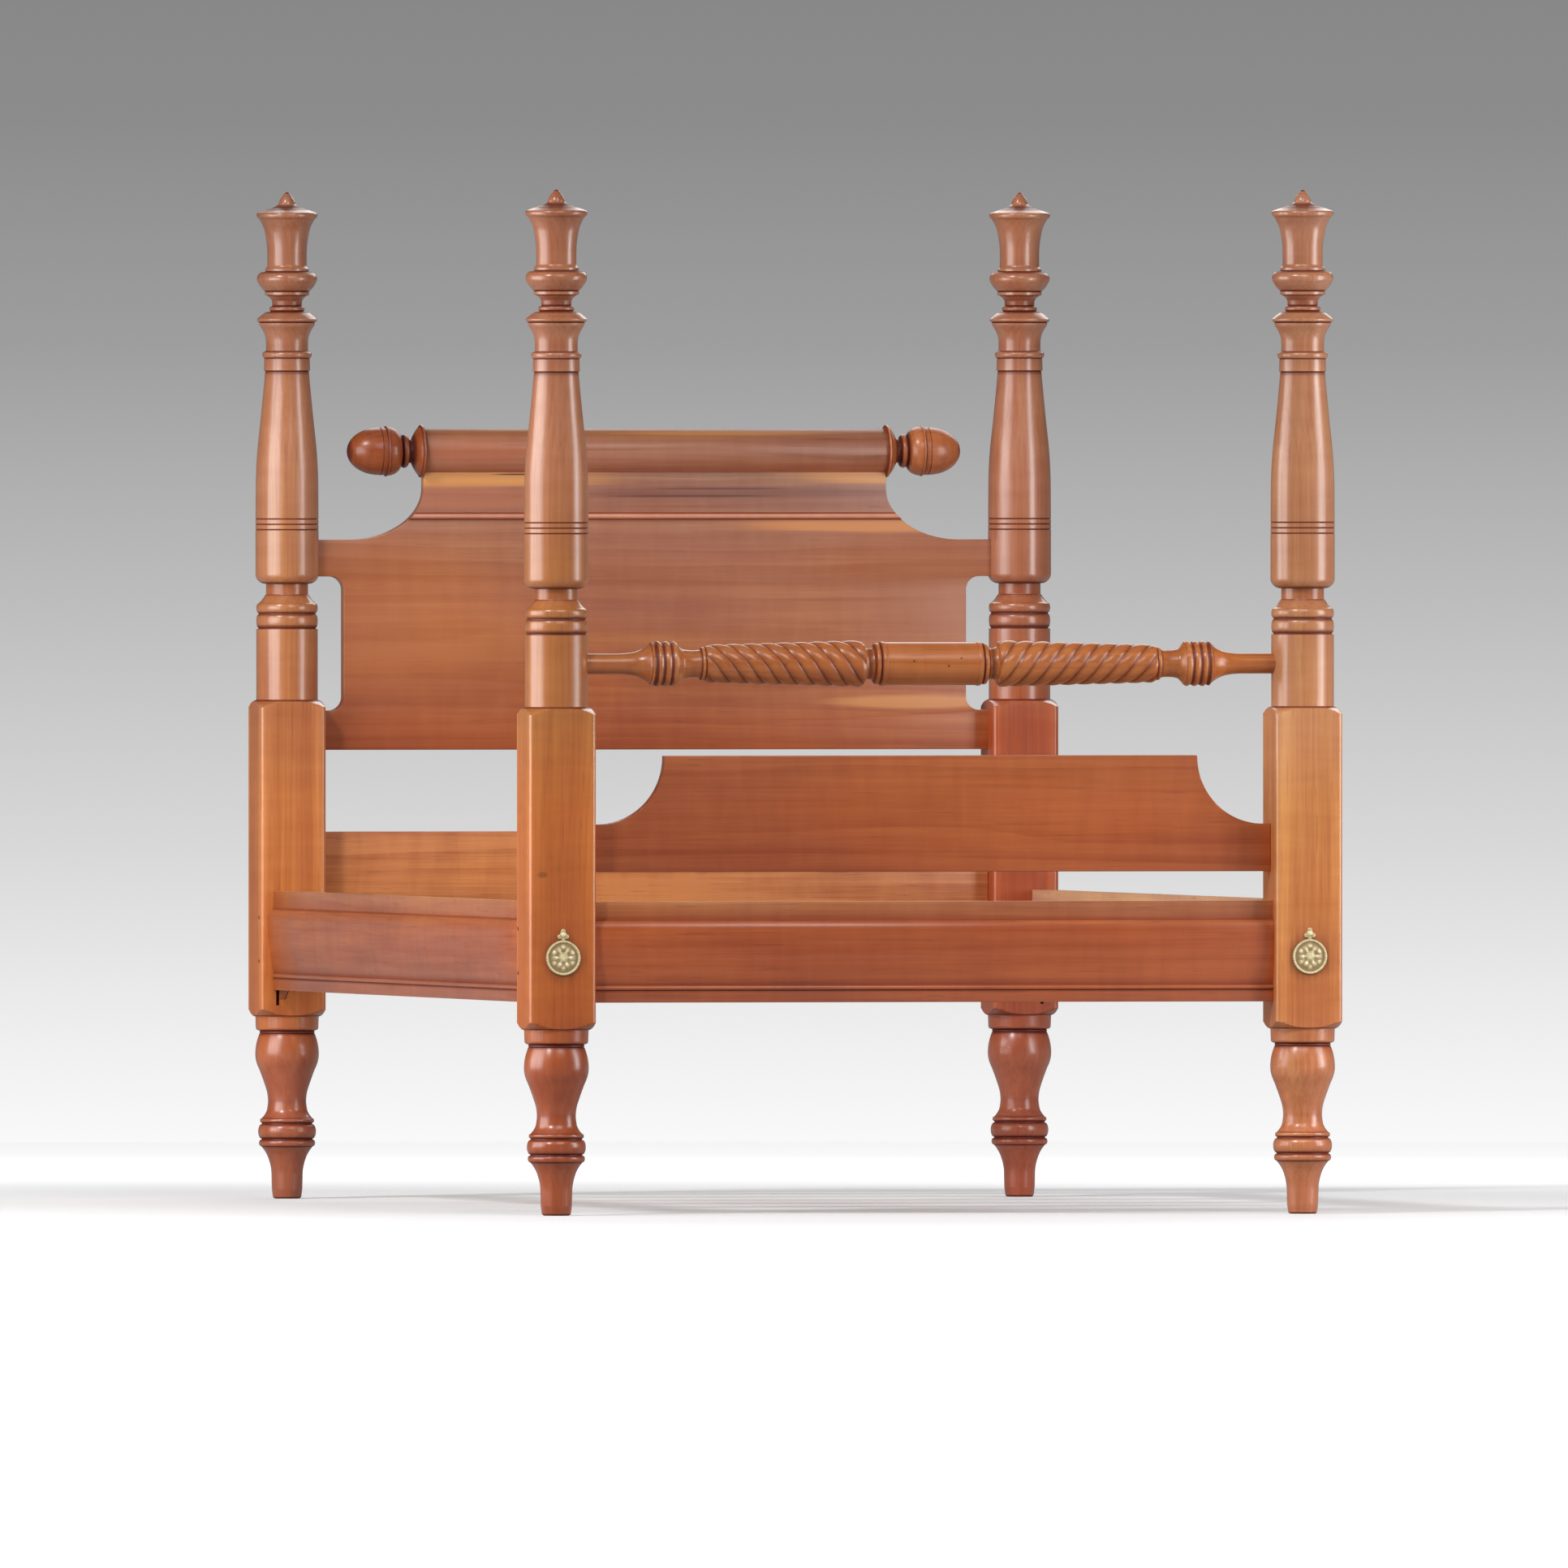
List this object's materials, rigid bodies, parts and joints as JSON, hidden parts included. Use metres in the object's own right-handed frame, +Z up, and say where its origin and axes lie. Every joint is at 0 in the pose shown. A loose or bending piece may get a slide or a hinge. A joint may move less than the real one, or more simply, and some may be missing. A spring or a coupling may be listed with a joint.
{
  "type": "four-post bed frame",
  "caption": "Low four-post bed: turned posts, scrolled headboard with a crest roll, footboard, twist-reeded blanket rail, hooked side rails and loose slats.",
  "frame": {"origin": "on the floor, under the middle of the bed's box", "axes": "+X across the bed to the right seen from the foot, +Y from the foot end to the head end, +Z up"},
  "size_m": [1.218, 2.1184, 1.503],
  "materials": {
    "turned_cherry": "warm satin varnish over turned figure",
    "block_cherry": "warm satin varnish",
    "board_cherry": "red-brown satin varnish, long grain",
    "raw_rail": "bare sawn wood, pinkish",
    "slat_wood": "bare weathered wood, whitish residue",
    "hook_steel": "dull galvanised",
    "cover_brass": "pale stamped brass"
  },
  "bodies": {
    "bed_ends": {"acorn_left": "board_cherry", "acorn_right": "board_cherry", "cover_nail_left": "cover_brass", "cover_nail_right": "cover_brass", "crest_roll": "board_cherry", "foot_rail": "board_cherry", "footboard_panel": "board_cherry", "head_stretcher": "board_cherry", "headboard_bead": "board_cherry", "headboard_panel": "board_cherry", "hook_pins_foot_left": "hook_steel", "hook_pins_foot_right": "hook_steel", "hook_pins_head_left": "hook_steel", "hook_pins_head_right": "hook_steel", "post_foot_left": "turned_cherry", "post_foot_right": "turned_cherry", "post_head_left": "turned_cherry", "post_head_right": "turned_cherry", "post_patch": "block_cherry"},
    "blanket_rail": {"blanket_rail": "turned_cherry"},
    "side_rail_left": {"side_rail_left": "board_cherry", "ledger_left": "raw_rail", "ledger_screws_left": "hook_steel", "hook_plate_foot_left": "hook_steel", "hook_plate_head_left": "hook_steel", "hook_screws_left": "hook_steel"},
    "bolt_cover_left": {"bolt_cover_left": "cover_brass"},
    "side_rail_right": {"side_rail_right": "board_cherry", "ledger_right": "raw_rail", "ledger_screws_right": "hook_steel", "hook_plate_foot_right": "hook_steel", "hook_plate_head_right": "hook_steel", "hook_screws_right": "hook_steel"},
    "bolt_cover_right": {"bolt_cover_right": "cover_brass"},
    "slat_1": {"slat_1": "slat_wood"},
    "slat_2": {"slat_2": "slat_wood"},
    "slat_3": {"slat_3": "slat_wood"},
    "slat_4": {"slat_4": "slat_wood"},
    "slat_5": {"slat_5": "slat_wood"}
  },
  "joints": [
    {"name": "blanket_rail_spin", "type": "hinge", "parent": "bed_ends", "child": "blanket_rail", "pos_m": [0, -1.00475, 0.808], "axis": [1, 0, 0], "continuous": true},
    {"name": "side_rail_left_lift", "type": "slide", "parent": "bed_ends", "child": "side_rail_left", "axis": [0, 0, 1], "range_m": [0, 0.022]},
    {"name": "side_rail_right_lift", "type": "slide", "parent": "bed_ends", "child": "side_rail_right", "axis": [0, 0, 1], "range_m": [0, 0.022]},
    {"name": "bolt_cover_left_swing", "type": "hinge", "parent": "bed_ends", "child": "bolt_cover_left", "pos_m": [-0.559, -1.05475, 0.412], "axis": [0, 1, 0], "continuous": true},
    {"name": "bolt_cover_right_swing", "type": "hinge", "parent": "bed_ends", "child": "bolt_cover_right", "pos_m": [0.559, -1.05475, 0.412], "axis": [0, 1, 0], "continuous": true},
    {"name": "slat_1_lift", "type": "slide", "parent": "side_rail_left", "child": "slat_1", "axis": [0, 0, 1], "range_m": [0, 0.2]},
    {"name": "slat_2_lift", "type": "slide", "parent": "side_rail_left", "child": "slat_2", "axis": [0, 0, 1], "range_m": [0, 0.2]},
    {"name": "slat_3_lift", "type": "slide", "parent": "side_rail_left", "child": "slat_3", "axis": [0, 0, 1], "range_m": [0, 0.2]},
    {"name": "slat_4_lift", "type": "slide", "parent": "side_rail_left", "child": "slat_4", "axis": [0, 0, 1], "range_m": [0, 0.2]},
    {"name": "slat_5_lift", "type": "slide", "parent": "side_rail_left", "child": "slat_5", "axis": [0, 0, 1], "range_m": [0, 0.2]}
  ],
  "couplings": [
    {"joint": "side_rail_right_lift", "follows": "side_rail_left_lift", "ratio": 1}
  ]
}
